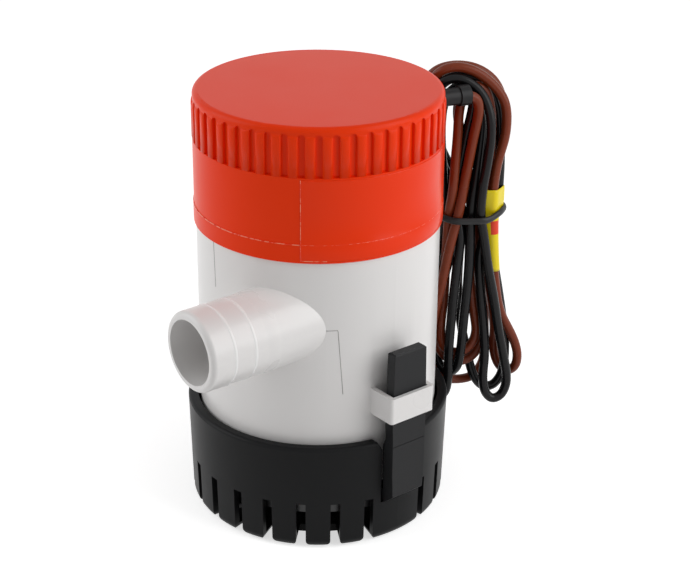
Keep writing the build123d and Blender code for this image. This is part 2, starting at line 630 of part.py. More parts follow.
def brush():
    """Carbon brush at +X, hollowed to the commutator."""
    body = block((COMM_R - 1, BRUSH_FROM + BRUSH_L), (-BRUSH_W / 2, BRUSH_W / 2),
                 (BRUSH_MID_Z - BRUSH_H / 2, BRUSH_MID_Z + BRUSH_H / 2))
    return body - rod(BRUSH_FROM, BRUSH_MID_Z - BRUSH_H, BRUSH_MID_Z + BRUSH_H)


def brush_holder():
    """Brass sleeve that a brush slides in, closed at its outer end."""
    half_w = BRUSH_W / 2 + SEAT_GAP
    half_h = BRUSH_H / 2 + SEAT_GAP
    sleeve = block((COMM_R + 1.4, HOLDER_END_X), (-half_w - HOLDER_WALL, half_w + HOLDER_WALL),
                   (BRUSH_MID_Z - half_h - HOLDER_WALL, BRUSH_MID_Z + half_h + HOLDER_WALL))
    return sleeve - block((0, HOLDER_END_X - HOLDER_WALL), (-half_w, half_w),
                          (BRUSH_MID_Z - half_h, BRUSH_MID_Z + half_h))


def brush_spring():
    """Coil spring between a brush and the end of its holder."""
    x_from = BRUSH_FROM + BRUSH_L + SPRING_WIRE_R + SEAT_GAP
    x_to = HOLDER_END_X - HOLDER_WALL - SPRING_WIRE_R - SEAT_GAP
    helix = Helix(pitch=(x_to - x_from) / SPRING_TURNS, height=x_to - x_from, radius=SPRING_R)
    section = Plane(origin=helix @ 0, z_dir=helix % 0) * Circle(SPRING_WIRE_R)
    coil = sweep(section, path=helix)
    return Pos(x_from, 0, BRUSH_MID_Z) * Rot(0, 90, 0) * coil


def pair(piece):
    """A piece and its twin on the other side of the shaft, as two solids."""
    return Compound([piece, Rot(0, 0, 180) * piece])


def end_bell():
    """Plastic end of the motor: carries the upper bush, the brush gear and the terminals."""
    in_r = CAN_IN_R - SEAT_GAP
    bell = rod(in_r, BELL_Z, CAN_TOP_Z) + rod(CAN_R, CAN_TOP_Z, BELL_TOP_Z)
    bell += rod(BUSH_R + 2, BELL_TOP_Z, UPPER_BUSH_Z + BUSH_L)
    bell -= rod(BUSH_R + SEAT_GAP, UPPER_BUSH_Z, HEIGHT)
    bell -= rod(SHAFT_HOLE_R, BELL_Z - 1, HEIGHT)
    for side in (-1, 1):
        slot = block((-0.45, 0.45), (-2.05, 2.05), (BELL_Z - 1, BELL_TOP_Z + 1))
        bell -= Pos(side * TERMINAL_X, 0, 0) * slot
    return bell


def terminal():
    return Pos(TERMINAL_X, 0, 0) * block(
        (-0.4, 0.4), (-2.0, 2.0), (BELL_Z, BELL_TOP_Z + TERMINAL_TOP))


# ---- cap and seals -------------------------------------------------------------------


def flange_gasket():
    return ring(FLANGE_R, NECK_IN_R, NECK_TOP_Z, FLANGE_LOW_Z)


def cap_oring():
    return Pos(0, 0, ORING_Z) * Torus(ORING_RING_R, ORING_R)


def cap_outside():
    """The cap's outer form, solid: skirt, ledge, rib band and rounded top."""
    outline = [
        Line((0, CAP_Z), (SKIRT_FOOT_R, CAP_Z)),
        Line((SKIRT_FOOT_R, CAP_Z), (SKIRT_FOOT_R, SKIRT_FOOT_Z)),
        Line((SKIRT_FOOT_R, SKIRT_FOOT_Z), (SKIRT_R, SKIRT_FOOT_Z)),
        Line((SKIRT_R, SKIRT_FOOT_Z), (SKIRT_R, RIB_LOW_Z)),
        Line((SKIRT_R, RIB_LOW_Z), (RIB_R, RIB_LOW_Z)),
        Line((RIB_R, RIB_LOW_Z), (RIB_R, HEIGHT - CAP_TOP_ROUND)),
        RadiusArc((RIB_R, HEIGHT - CAP_TOP_ROUND), (RIB_R - CAP_TOP_ROUND, HEIGHT), -CAP_TOP_ROUND),
        Line((RIB_R - CAP_TOP_ROUND, HEIGHT), (0, HEIGHT)),
        Line((0, HEIGHT), (0, CAP_Z)),
    ]
    return revolve(Plane.XZ * make_face(outline), Axis.Z)


def rib_groove():
    """Gap between two grip ribs, round-ended at the top."""
    width = 2 * pi * RIB_R / RIB_COUNT * RIB_GROOVE
    middle_z = RIB_TOP_Z - width / 2
    face = Pos(0, (RIB_LOW_Z + middle_z) / 2) * Rectangle(width, middle_z - RIB_LOW_Z)
    face += Pos(0, middle_z) * Circle(width / 2)
    return Pos(RIB_R - RIB_DEPTH, 0, 0) * extrude(Plane.YZ * face, amount=RIB_DEPTH + 1)


def motor_cap():
    cap = cap_outside() - around(rib_groove(), RIB_COUNT)
    cap += radial_rod(PORT_R, CAP_SHOULDER_R + 1, RIB_R + PORT_OUT, GLAND_DEG, GLAND_Z)
    ceiling = HEIGHT - WALL
    cap -= rod(SKIRT_IN_R, CAP_Z - 1, FLANGE_TOP_Z)
    cap -= rod(CAP_SHOULDER_R, FLANGE_TOP_Z - 1, ceiling)
    hold = ring(HOLD_RING_R, HOLD_RING_R - HOLD_RING_WALL, BELL_TOP_Z + CLEAR, ceiling + 0.5)
    gap = block((0, HOLD_RING_R + 1), (-5, 5), (BELL_TOP_Z, ceiling))
    cap += hold - Rot(0, 0, GLAND_DEG) * gap
    return cap - radial_rod(GLAND_R + SEAT_GAP, CAP_SHOULDER_R - 2, RIB_R + 5, GLAND_DEG, GLAND_Z)


# ---- wires ---------------------------------------------------------------------------


def wire_gland():
    """Rubber outlet sleeve with an inside flange and a thicker outer end."""
    flange_from = CAP_SHOULDER_R - 1.8
    gland = radial_rod(GLAND_FLANGE_R, flange_from, CAP_SHOULDER_R - 0.45, GLAND_DEG, GLAND_Z)
    gland += radial_rod(GLAND_R, flange_from, GLAND_COLLAR_FROM, GLAND_DEG, GLAND_Z)
    collar = radial_rod(GLAND_COLLAR_R, GLAND_COLLAR_FROM, GLAND_END, GLAND_DEG, GLAND_Z)
    return gland + collar


def gland_point(distance, sideways):
    """A point beside the gland's axis, at a distance from the motor's axis."""
    angle = radians(GLAND_DEG)
    return (distance * cos(angle) - sideways * sin(angle),
            distance * sin(angle) + sideways * cos(angle), GLAND_Z)


def inner_lead(name, side):
    """The wire inside the cap, from a terminal to the gland's inner flange."""
    end_r = CAP_SHOULDER_R - 1.8
    end = gland_point(end_r, -side * LEAD_APART)
    before = gland_point(end_r - 6, -side * LEAD_APART)
    top = BELL_TOP_Z + TERMINAL_TOP
    return lead_tube(name, [
        (side * TERMINAL_X, 0, top), (side * TERMINAL_X, 0, top + 4),
        (side * TERMINAL_X * 0.7, 6, GLAND_Z + 0.5), before, end])


def hank_point(across, forward, up):
    """A point in the hank's own frame: across its broad side, towards the spigot, up."""
    angle = radians(HANK_DEG)
    return (HANK_CENTRE[0] + across * cos(angle) + forward * sin(angle),
            HANK_CENTRE[1] + across * sin(angle) - forward * cos(angle), up)


def outer_lead(name, side, route):
    """The wire from the gland's end down to the tie."""
    sideways = -side * LEAD_APART
    out = [gland_point(GLAND_END, sideways), gland_point(GLAND_END + LEAD_STRAIGHT, sideways)]
    return lead_tube(name, out + [hank_point(*point) for point in route])


def hank_plane(height):
    """Level plane at the hank, X across its broad side and Y away from the spigot."""
    return Pos(HANK_CENTRE[0], HANK_CENTRE[1], height) * Rot(0, 0, HANK_DEG)


def wire_hank():
    """Outer shape of the folded and tied wires, hollowed at the back to clear the pump."""
    outline = make_face(FilletPolyline(*HANK_OUTLINE, radius=HANK_OUTLINE_ROUNDS, close=True))
    broad = extrude(Plane.XZ * outline, amount=20, both=True)
    narrow = extrude(Plane.YZ * make_face(Polyline(*HANK_SIDE, close=True)), amount=30, both=True)
    hank = hank_plane(0) * (broad & narrow) - rod(BODY_R + HANK_CLEAR, 0, HEIGHT)
    return hank - rod(BASE_RIM_R + HANK_BASE_CLEAR, 0, BASE_RIM_Z + 1)


def twist_tie():
    """Tie round the hank's waist."""
    wide, deep = TIE_WIDTHS
    outer_round, inner_round = TIE_ROUNDS
    outer = RectangleRounded(wide + 2 * TIE_T, deep + 2 * TIE_T, outer_round)
    inner = RectangleRounded(wide, deep, inner_round)
    band = extrude(outer - inner, amount=TIE_H / 2, both=True)
    return hank_plane(TIE_Z) * Pos(*TIE_MIDDLE, 0) * band


def wire_tag():
    """Small flag label on the right-hand wire of the hank."""
    return hank_plane(0) * block(TAG_ACROSS, (-TAG_FRONT, TAG_T - TAG_FRONT), TAG_HEIGHT)


# ---- write one file for each piece ---------------------------------------------------

PIECES = {
    "strainer_base": strainer_base(),
    "latch_tab_right": latch_tab(1),
    "latch_tab_left": latch_tab(-1),
    "pump_housing": pump_housing(),
    "inlet_plate": inlet_plate(),
    "plate_screws": plate_screws(),
    "impeller": impeller(),
    "rotor_shaft": rotor_shaft(),
    "motor_cup": motor_cup(),
    "shaft_seal": shaft_seal(),
    "seal_retainer": seal_retainer(),
    "motor_can": motor_can(),
    "lower_bush": bush(LOWER_BUSH_Z),
    "upper_bush": bush(UPPER_BUSH_Z),
    "magnets": magnets(),
    "armature_core": armature_core(),
    "windings": windings(),
    "commutator": commutator(),
    "brushes": pair(brush()),
    "brush_holders": pair(brush_holder()),
    "brush_springs": pair(brush_spring()),
    "end_bell": end_bell(),
    "terminals": pair(terminal()),
    "flange_gasket": flange_gasket(),
    "cap_oring": cap_oring(),
    "motor_cap": motor_cap(),
    "wire_gland": wire_gland(),
    "inner_lead_brown": inner_lead("inner_lead_brown", 1),
    "inner_lead_black": inner_lead("inner_lead_black", -1),
    "brown_lead": outer_lead("brown_lead", 1, BROWN_ROUTE),
    "black_lead": outer_lead("black_lead", -1, BLACK_ROUTE),
    "wire_hank": wire_hank(),
    "twist_tie": twist_tie(),
    "wire_tag": wire_tag(),
}

os.makedirs("parts", exist_ok=True)
for name, piece in PIECES.items():
    export_step(piece, f"parts/{name}.step")
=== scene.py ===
from math import acos, atan2, cos, degrees, hypot, pi, radians, sin

import bmesh
import bpy
import numpy as np
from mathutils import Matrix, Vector


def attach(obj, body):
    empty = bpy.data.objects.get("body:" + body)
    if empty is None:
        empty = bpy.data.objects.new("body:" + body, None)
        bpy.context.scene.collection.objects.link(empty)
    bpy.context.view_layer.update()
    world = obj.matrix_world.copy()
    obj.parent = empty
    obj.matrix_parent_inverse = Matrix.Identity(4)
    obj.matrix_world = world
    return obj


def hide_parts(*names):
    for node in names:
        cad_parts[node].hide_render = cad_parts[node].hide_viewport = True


# A small submersible bilge pump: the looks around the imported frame. Metres, +Z up; lengths
# of the object are written in millimetres and turned to metres by MM.
MM = 0.001

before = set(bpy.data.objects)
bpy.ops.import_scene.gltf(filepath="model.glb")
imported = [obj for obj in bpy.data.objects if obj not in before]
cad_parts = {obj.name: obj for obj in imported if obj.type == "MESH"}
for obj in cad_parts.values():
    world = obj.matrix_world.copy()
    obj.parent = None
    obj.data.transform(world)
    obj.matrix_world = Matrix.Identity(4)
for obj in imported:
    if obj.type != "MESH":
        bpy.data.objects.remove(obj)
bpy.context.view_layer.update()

# ---- camera ----------------------------------------------------------------------------
VIEW_AZIMUTH = 51.3
VIEW_ELEVATION = 24.96
VIEW_DISTANCE = 430.25
VIEW_HEIGHT = 55.81          # of the point looked at
VIEW_SIDE = 6.82             # of that point, to the right of the motor's axis
VIEW_ROLL = 0.56
LENS = 89.9
SENSOR = 36.0


def make_camera():
    a, e, r = radians(VIEW_AZIMUTH), radians(VIEW_ELEVATION), radians(VIEW_ROLL)
    right = Vector((cos(a), sin(a), 0))
    back = Vector((sin(a) * cos(e), -cos(a) * cos(e), sin(e)))
    up = back.cross(right)
    rolled_right = cos(r) * right + sin(r) * up
    rolled_up = cos(r) * up - sin(r) * right
    data = bpy.data.cameras.new("camera")
    data.lens = LENS
    data.sensor_width = SENSOR
    data.clip_start = 0.01
    data.clip_end = 20
    camera = bpy.data.objects.new("camera", data)
    bpy.context.scene.collection.objects.link(camera)
    target = Vector((0, 0, VIEW_HEIGHT)) + right * VIEW_SIDE
    place = (target + back * VIEW_DISTANCE) * MM
    columns = (rolled_right, rolled_up, back, place)
    matrix = camera.matrix_world.copy()
    for row in range(3):
        matrix[row] = [column[row] for column in columns]
    camera.matrix_world = matrix
    bpy.context.scene.camera = camera


make_camera()

# ---- materials -------------------------------------------------------------------------


def set_socket(shader, **values):
    """Sets sockets of a shader by their names, with _ for a space."""
    for name, value in values.items():
        shader.inputs[name.replace("_", " ")].default_value = value


class Paint:
    """A material's node tree, with short names for the nodes that this file uses."""

    def __init__(self, name):
        self.material = bpy.data.materials.new(name)
        self.material.use_nodes = True
        self.nodes = self.material.node_tree.nodes
        self.links = self.material.node_tree.links
        self.shader = self.nodes["Principled BSDF"]
        self.place = self.nodes.new("ShaderNodeTexCoord").outputs["Object"]

    def link(self, source, target):
        self.links.new(source, target)

    def feed(self, socket, item):
        """Links another node's output to the socket, or sets the socket to a value."""
        if hasattr(item, "is_output"):
            self.link(item, socket)
        else:
            socket.default_value = item

    def scaled(self, scale):
        node = self.nodes.new("ShaderNodeMapping")
        self.link(self.place, node.inputs["Vector"])
        node.inputs["Scale"].default_value = scale
        return node.outputs["Vector"]

    def noise(self, scale, detail=2.0, rough=0.5, vector=None):
        node = self.nodes.new("ShaderNodeTexNoise")
        node.inputs["Scale"].default_value = scale
        node.inputs["Detail"].default_value = detail
        node.inputs["Roughness"].default_value = rough
        self.link(vector or self.place, node.inputs["Vector"])
        return node.outputs["Fac"]

    def ramp(self, value, low, high, to_low=0.0, to_high=1.0):
        node = self.nodes.new("ShaderNodeMapRange")
        node.inputs["From Min"].default_value = low
        node.inputs["From Max"].default_value = high
        node.inputs["To Min"].default_value = to_low
        node.inputs["To Max"].default_value = to_high
        self.link(value, node.inputs["Value"])
        return node.outputs["Result"]

    def mix(self, value, first, second):
        node = self.nodes.new("ShaderNodeMix")
        node.data_type = "RGBA"
        self.link(value, node.inputs["Factor"])
        for name, item in (("A", first), ("B", second)):
            self.feed(node.inputs[name], item if hasattr(item, "is_output") else (*item, 1))
        return node.outputs["Result"]

    def math(self, operation, first, second):
        node = self.nodes.new("ShaderNodeMath")
        node.operation = operation
        self.feed(node.inputs[0], first)
        self.feed(node.inputs[1], second)
        return node.outputs["Value"]

    def bump(self, height, distance):
        node = self.nodes.new("ShaderNodeBump")
        node.inputs["Distance"].default_value = distance
        node.inputs["Strength"].default_value = 1.0
        self.link(height, node.inputs["Height"])
        self.link(node.outputs["Normal"], self.shader.inputs["Normal"])

    def color(self, source):
        self.link(source, self.shader.inputs["Base Color"])

    def rough(self, source):
        self.link(source, self.shader.inputs["Roughness"])


WHITE = (0.80, 0.785, 0.775), (0.785, 0.77, 0.76)
# The colour below is painted shade: near black for the housing's shaded lower end that the slots
# show.
INLET_PAINTED_SHADE = (0.011, 0.0112, 0.012)
INLET_PAINTED_SHADE_Z = 15.5          # painted shade: the housing is near black below this, where the slots show its shaded lower end
INLET_PAINTED_SHADE_SOFT = 0.1        # half the height over which the colour turns


def moulded(name, color, shade, rough_low, rough_high, bump=0.004, grain=900.0, **sockets):
    """Moulded plastic: faint colour drift, uneven gloss and a very fine surface."""
    paint = Paint(name)
    drift = paint.ramp(paint.noise(16, 1), 0.25, 0.75)
    paint.color(paint.mix(drift, color, shade))
    paint.rough(paint.ramp(paint.noise(70, 2), 0.2, 0.8, rough_low, rough_high))
    paint.bump(paint.noise(grain, 3, 0.6), bump * MM)
    set_socket(paint.shader, **sockets)
    return paint.material


def metal(name, color, shade, rough_low, rough_high, stretch=(1, 1, 12)):
    paint = Paint(name)
    streak = paint.noise(180, 4, 0.6, paint.scaled(stretch))
    paint.color(paint.mix(streak, color, shade))
    paint.rough(paint.ramp(streak, 0.3, 0.7, rough_low, rough_high))
    paint.bump(streak, 0.003 * MM)
    set_socket(paint.shader, Metallic=1.0)
    return paint.material


def housing_paint():
    """White plastic, with painted shade in near black at the inlet end, where the slots look in."""
    paint = Paint("housing_plastic")
    drift = paint.ramp(paint.noise(16, 1), 0.25, 0.75)
    white = paint.mix(drift, *WHITE)
    split = paint.nodes.new("ShaderNodeSeparateXYZ")
    paint.link(paint.place, split.inputs["Vector"])
    upper = paint.ramp(split.outputs["Z"], (INLET_PAINTED_SHADE_Z - INLET_PAINTED_SHADE_SOFT) * MM,
                       (INLET_PAINTED_SHADE_Z + INLET_PAINTED_SHADE_SOFT) * MM)
    # painted shade in near black below the inlet height, white above
    paint.color(paint.mix(upper, INLET_PAINTED_SHADE, white))
    paint.rough(paint.ramp(paint.noise(40, 1), 0.2, 0.8, 0.27, 0.30))
    paint.bump(paint.noise(900, 3, 0.6), 0.003 * MM)
    return paint.material


def edge_highlight_paint():
    """Painted highlight along the cut edge of a clear film on the cap: pale patches where the
    lifted edge catches the light.
    """
    paint = Paint("edge_highlight")
    glint_patches = paint.ramp(paint.noise(900, 2), 0.42, 0.58)
    paint.color(paint.mix(glint_patches, (0.93, 0.040, 0.002), (0.92, 0.28, 0.16)))
    paint.rough(paint.ramp(glint_patches, 0, 1, 0.22, 0.4))
    return paint.material


MATERIALS = {
    "cap": moulded("cap_plastic", (0.90, 0.042, 0.002), (0.88, 0.039, 0.002), 0.27, 0.33,
                   bump=0.003, Specular_IOR_Level=0.10),
    "film": moulded("label_film", (0.90, 0.041, 0.002), (0.88, 0.038, 0.002), 0.20, 0.25,
                    bump=0.002, Specular_IOR_Level=0.13),
    "edge_highlight": edge_highlight_paint(),
    "housing": housing_paint(),
    "body": moulded("body_plastic", *WHITE, 0.24, 0.32, bump=0.003),
    # the beads' lighter white is a painted highlight on the raised spigot rings
    "bead_highlight": moulded("mould_bead", (0.90, 0.89, 0.885), (0.89, 0.88, 0.875), 0.22, 0.28,
                    bump=0.002),
    # the seams' grey is painted shade along the fine mould lines of the white plastic
    "seam": moulded("mould_seam_shade", (0.34, 0.33, 0.325), (0.42, 0.41, 0.40), 0.4, 0.5),
    "base": moulded("base_plastic", (0.0085, 0.0087, 0.0092), (0.0105, 0.0107, 0.0112), 0.34, 0.44,
                    bump=0.006, grain=700, Specular_IOR_Level=0.09),
    "tab": moulded("tab_plastic", (0.0100, 0.0102, 0.0112), (0.0135, 0.0138, 0.015), 0.30, 0.42,
                   bump=0.012, grain=1100, Specular_IOR_Level=0.18),
    "rubber": moulded("rubber", (0.010, 0.010, 0.011), (0.013, 0.013, 0.014), 0.32, 0.45,
                      bump=0.008, grain=500, Specular_IOR_Level=0.2),
    "tie": moulded("tie_rubber", (0.016, 0.0165, 0.0175), (0.020, 0.0205, 0.0215), 0.32, 0.42,
                   bump=0.006, grain=600, Specular_IOR_Level=0.25),
    "brown": moulded("brown_pvc", (0.190, 0.033, 0.010), (0.172, 0.029, 0.009), 0.24, 0.32,
                     bump=0.004, grain=500, Specular_IOR_Level=0.2),
    "black": moulded("black_pvc", (0.0055, 0.0055, 0.0062), (0.007, 0.007, 0.0078), 0.20, 0.28,
                     bump=0.004, grain=500, Specular_IOR_Level=0.2),
    "steel": metal("steel", (0.55, 0.55, 0.56), (0.48, 0.48, 0.49), 0.22, 0.36),
    "zinc": metal("zinc_steel", (0.52, 0.53, 0.53), (0.42, 0.43, 0.42), 0.34, 0.5),
    "core": metal("core_steel", (0.28, 0.28, 0.29), (0.2, 0.2, 0.21), 0.4, 0.55, (1, 1, 60)),
    "ferrite": moulded("ferrite", (0.05, 0.05, 0.052), (0.07, 0.07, 0.07), 0.6, 0.75,
                       bump=0.02, grain=400),
    "copper": metal("copper", (0.75, 0.30, 0.16), (0.6, 0.2, 0.1), 0.3, 0.45, (1, 1, 40)),
    "brass": metal("brass", (0.76, 0.56, 0.24), (0.66, 0.46, 0.18), 0.28, 0.42),
    "bronze": metal("bronze", (0.5, 0.34, 0.18), (0.42, 0.27, 0.14), 0.45, 0.6, (1, 1, 1)),
    "carbon": moulded("carbon", (0.03, 0.03, 0.03), (0.045, 0.045, 0.045), 0.5, 0.65,
                      bump=0.02, grain=300),
    "tag": moulded("tag_film", (0.87, 0.70, 0.004), (0.85, 0.67, 0.004), 0.26, 0.34,
                   Specular_IOR_Level=0.35),
    "tag_red": moulded("tag_print", (0.80, 0.045, 0.010), (0.77, 0.04, 0.010), 0.26, 0.34,
                       Specular_IOR_Level=0.35),
}

NODE_MATERIALS = {
    "strainer_base": "base", "latch_tab_right": "tab", "latch_tab_left": "tab",
    # the inlet plate takes the black base plastic as painted shade, so the slots look dark
    "pump_housing": "housing", "inlet_plate": "base", "plate_screws": "steel",
    "impeller": "base", "rotor_shaft": "steel", "motor_cup": "body", "shaft_seal": "rubber",
    "seal_retainer": "brass", "motor_can": "zinc", "lower_bush": "bronze",
    "upper_bush": "bronze", "magnets": "ferrite", "armature_core": "core",
    "windings": "copper", "commutator": "copper", "brushes": "carbon",
    "brush_holders": "brass", "brush_springs": "steel", "end_bell": "base",
    "terminals": "brass", "flange_gasket": "rubber", "cap_oring": "rubber",
    "motor_cap": "cap", "wire_gland": "rubber", "inner_lead_brown": "brown",
    "inner_lead_black": "black", "brown_lead": "brown", "black_lead": "black",
    "wire_hank": "black", "twist_tie": "rubber", "wire_tag": "tag",
}


def paint_nodes():
    for node, material in NODE_MATERIALS.items():
        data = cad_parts[node].data
        data.materials.clear()
        data.materials.append(MATERIALS[material])


paint_nodes()


def dress(piece, body, slot, *materials):
    """Gives a new piece its materials and the body it rides on; slot is not used."""
    for material in materials:
        piece.data.materials.append(MATERIALS[material])
    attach(piece, body)


# ---- the leads: gland, hank and bare ends ------------------------------------------------
LEAD_D = 2.5
HANK_CENTRE = (8.5, 42.5)      # of the hank's own frame, from the motor's axis
HANK_DEG = 61.3               # the turn of that frame
TIE_Z = 68.5

# Points are (across, forward, up) in the hank's own frame. The routes run from the gland's end
# to the tie. Each group of bights starts and ends at the tie, and the low ones hang below it.
# A lead's bare end stands just below the tie.
BROWN_ROUTE = ((-2.19, 4.74, 101.3), (-0.9, 4.5, 100.9), (0.1, 4.35, 98.8), (0.1, 4.2, 95.8),
               (-0.6, 4.0, 91.4), (-1.2, 3.8, 86.8), (-1.8, 3.6, 82.2), (-2.4, 3.5, 77.6),
               (-3.0, 3.7, 73.0), (-3.9, 4.0, 68.5))
BLACK_ROUTE = ((-2.81, 2.22, 101.3), (-1.5, 1.9, 100.9), (-0.6, 1.8, 98.8), (-0.9, 1.6, 95.8),
               (-1.8, 1.3, 91.2), (-2.5, 1.1, 86.6), (-3.2, 0.9, 82.0), (-3.8, 0.8, 77.4),
               (-4.1, 1.0, 72.9), (-3.9, 1.4, 68.5))
BROWN_BIGHTS = (
    # low
    (-5.3, 3.6, 61.0), (-6.5, 2.4, 50.0), (-8.0, 1.2, 38.0), (-7.9, 0.6, 27.0),
    (-5.0, 0.2, 22.2), (-0.6, -0.4, 20.6), (4.4, -1.0, 20.4), (7.6, -1.6, 24.6),
    (7.4, -2.6, 36.0), (6.6, -3.2, 50.0), (6.0, -3.3, 60.0), (5.8, -3.3, TIE_Z),
    # high
    (6.4, -2.8, 77.0), (7.3, -2.0, 86.0), (7.8, -1.5, 94.0), (5.8, -1.2, 100.6),
    (1.4, -1.3, 104.6), (-4.2, -2.0, 105.8), (-9.4, -3.2, 104.2), (-12.6, -4.8, 98.0),
    (-12.2, -5.2, 90.0), (-9.0, -4.6, 79.0), (-5.6, -3.4, TIE_Z),
    # low
    (-6.8, -2.8, 54.0), (-7.6, -1.6, 40.0), (-6.6, -0.8, 29.8), (-3.6, -0.3, 25.6),
    (0.5, 0.0, 25.2), (3.8, 0.0, 28.0), (4.9, -0.2, 34.0), (4.2, -0.6, 46.0), (2.8, -1.0, 58.0),
    (2.0, -1.1, TIE_Z),
    # high
    (2.5, -1.3, 75.0), (3.5, -1.7, 84.0), (4.2, -2.4, 93.0), (4.0, -3.0, 97.4),
    (1.0, -3.6, 101.4), (-2.4, -2.6, 98.4), (-3.2, -1.2, 93.6), (-1.6, 0.2, 86.0),
    (-0.6, 1.0, 77.0), (0.4, 1.1, TIE_Z),
    # low
    (0.3, 1.0, 60.0), (0.4, 1.0, 52.0), (1.7, 1.0, 41.0), (2.7, 1.1, 32.5), (0.6, 1.2, 28.6),
    (-2.8, 1.0, 27.2), (-6.2, 0.6, 28.6), (-7.4, 0.4, 34.0), (-6.9, 0.6, 44.0), (-6.8, 1.0, 56.0),
    (-6.4, 1.9, TIE_Z),
    # high
    (-5.6, 2.8, 76.0), (-5.0, 2.3, 83.0), (-4.3, 1.5, 90.0), (-3.6, 0.2, 97.0),
    (-1.2, -0.8, 101.9), (2.6, -1.2, 101.4), (5.0, -1.4, 95.0), (5.4, -1.3, 87.0),
    (5.1, -1.2, 77.0), (4.6, -1.1, TIE_Z),
    # low
    (5.3, -1.1, 60.0), (7.0, -1.4, 48.0), (8.8, -2.2, 35.0), (8.6, -3.4, 27.0),
    (9.2, -3.2, 22.8), (11.0, -1.6, 20.4), (13.0, 0.2, 22.6), (13.3, 0.6, 27.0), (11.6, 0.3, 32.0),
    (7.6, 0.7, 40.0), (5.5, 1.2, 50.0), (4.4, 1.7, 60.0), (4.0, 1.9, TIE_Z),
    # high
    (4.0, 1.8, 75.0), (4.9, 1.5, 82.0), (6.9, 1.3, 90.0), (6.4, 0.9, 98.0), (3.0, 0.4, 102.6),
    (-1.2, -0.2, 105.6), (-5.6, -0.4, 106.9), (-10.0, -1.0, 105.4), (-12.4, -2.6, 99.0),
    (-11.4, -3.4, 90.0), (-7.0, -3.4, 79.0), (-2.9, -3.3, TIE_Z), (-3.2, -3.5, 58.0),
)
BLACK_BIGHTS = (
    # low
    (-3.1, 3.0, 63.0), (-3.8, 3.4, 55.0), (-4.7, 3.3, 42.0), (-5.2, 3.2, 30.0),
    (-5.2, 3.2, 21.0), (-5.8, 2.8, 17.2), (-7.9, 1.3, 14.6), (-10.3, -0.2, 17.0),
    (-11.0, -1.0, 21.0), (-9.8, -1.8, 31.0),
    (-8.4, -2.0, 46.0), (-6.8, -1.5, 58.0), (-6.0, -0.9, TIE_Z),
    # high
    (-7.0, -1.8, 80.0), (-8.0, -2.6, 91.0), (-6.6, -3.4, 99.6), (-2.6, -3.4, 103.0),
    (1.2, -2.4, 101.2), (2.6, -0.6, 95.0), (1.9, 0.2, 88.0), (0.6, 1.2, 80.0), (-0.6, 2.0, 73.0),
    (-1.2, 2.4, TIE_Z),
    # low
    (-1.5, 3.0, 61.0), (-2.1, 2.9, 50.0), (-3.0, 2.4, 40.0), (-3.9, 1.8, 29.0),
    (-4.7, 1.0, 24.6), (-6.9, -0.9, 22.0), (-9.2, -2.8, 25.0), (-9.4, -3.8, 36.0),
    (-7.6, -3.4, 50.0), (-4.6, -2.0, 61.0), (-3.2, -1.1, TIE_Z),
    # high
    (-6.6, -1.9, 77.0), (-10.6, -2.0, 88.0), (-12.2, -1.4, 97.0), (-10.2, -0.7, 103.0),
    (-6.4, -0.4, 104.4), (-2.8, 0.2, 102.9), (0.2, 1.5, 100.0), (2.0, 2.7, 95.0),
    (2.3, 3.4, 89.0), (1.7, 3.7, 83.0), (0.8, 3.9, 76.0), (0.6, 4.1, TIE_Z),
    # low
    (1.6, 3.9, 64.0), (3.4, 3.8, 54.0), (5.4, 3.7, 45.0), (6.9, 3.6, 37.0), (8.7, 3.5, 29.0),
    (10.2, 3.4, 21.0), (9.7, 3.4, 17.2), (7.0, 3.4, 14.4), (4.4, 3.3, 17.2), (3.7, 3.1, 21.0),
    (4.0, 2.8, 28.0), (3.3, 2.2, 38.0), (2.2, 1.8, 48.0), (1.8, 1.4, 57.0), (3.6, 0.1, 62.5),
    (6.2, 0.2, TIE_Z),
    # high
    (6.6, 0.2, 75.0), (6.9, -0.2, 82.0), (6.7, -0.6, 90.0), (5.6, -0.5, 97.0), (2.6, -0.7, 101.9),
    (-2.4, -1.1, 104.0), (-7.4, -1.8, 104.0), (-11.0, -2.9, 99.6), (-11.6, -3.9, 91.0),
    (-6.8, -2.8, 78.0), (-0.6, -1.1, TIE_Z),
    # low
    (-1.0, -1.4, 58.0), (-1.4, -1.4, 46.0), (-0.6, -1.0, 36.0), (1.2, -0.4, 26.5),
    (3.2, 0.4, 18.8), (6.6, 0.6, 15.4), (10.0, 0.8, 19.0), (10.5, 0.4, 28.0), (8.4, -1.2, 40.0),
    (6.0, -2.6, 54.0), (3.3, -3.3, TIE_Z),
    # high
    (4.4, -3.3, 78.0), (5.6, -3.1, 88.0), (5.0, -3.3, 95.5), (1.4, -3.8, 101.0),
    (-3.6, -4.8, 102.0), (-8.6, -5.6, 99.0), (-10.4, -5.9, 91.0), (-6.8, -5.0, 80.0),
    (0.6, -3.3, TIE_Z), (1.0, -3.5, 58.0),
)
TURN_STEP = 3.2               # between the spline's points round a turn
KNOT_STEPS = 12               # steps of the line from one knot to the next
HELD = 4                      # points of each lead that stay where they are, at the gland
PUMP_KEEP_R = 31.95           # strands stay outside this, from the motor's axis,
STRAINER_KEEP = (34.45, 29.8)  # and outside this below this height

# Settling: strands in each other are pushed apart, their drift is smoothed and eased back to
# the laid route, and tight bends are opened.
SETTLE_ROUNDS = 600
STRAND_GAP = 2.54             # strands lie no nearer than this, middle to middle
OWN_RUNS = 7                  # a run isn't pushed from this many runs of its own lead
SEARCH_EVERY = 25             # rounds from one search for runs near each other to the next
SEARCH_GAP = 2 * STRAND_GAP   # between their middles
PUSH_SHARE = 0.9
SMOOTH_TIMES, SMOOTH_SHARE = 6, 0.4
RETURN_SHARE = 0.004          # of the drift, less and less towards the last round
BEND_R = 4.0                  # bends tighter than this are opened
BEND_SHARE = 0.2


def hank_point(across, forward, up):
    a = radians(HANK_DEG)
    return Vector((HANK_CENTRE[0] + across * cos(a) + forward * sin(a),
                   HANK_CENTRE[1] + across * sin(a) - forward * cos(a), up))


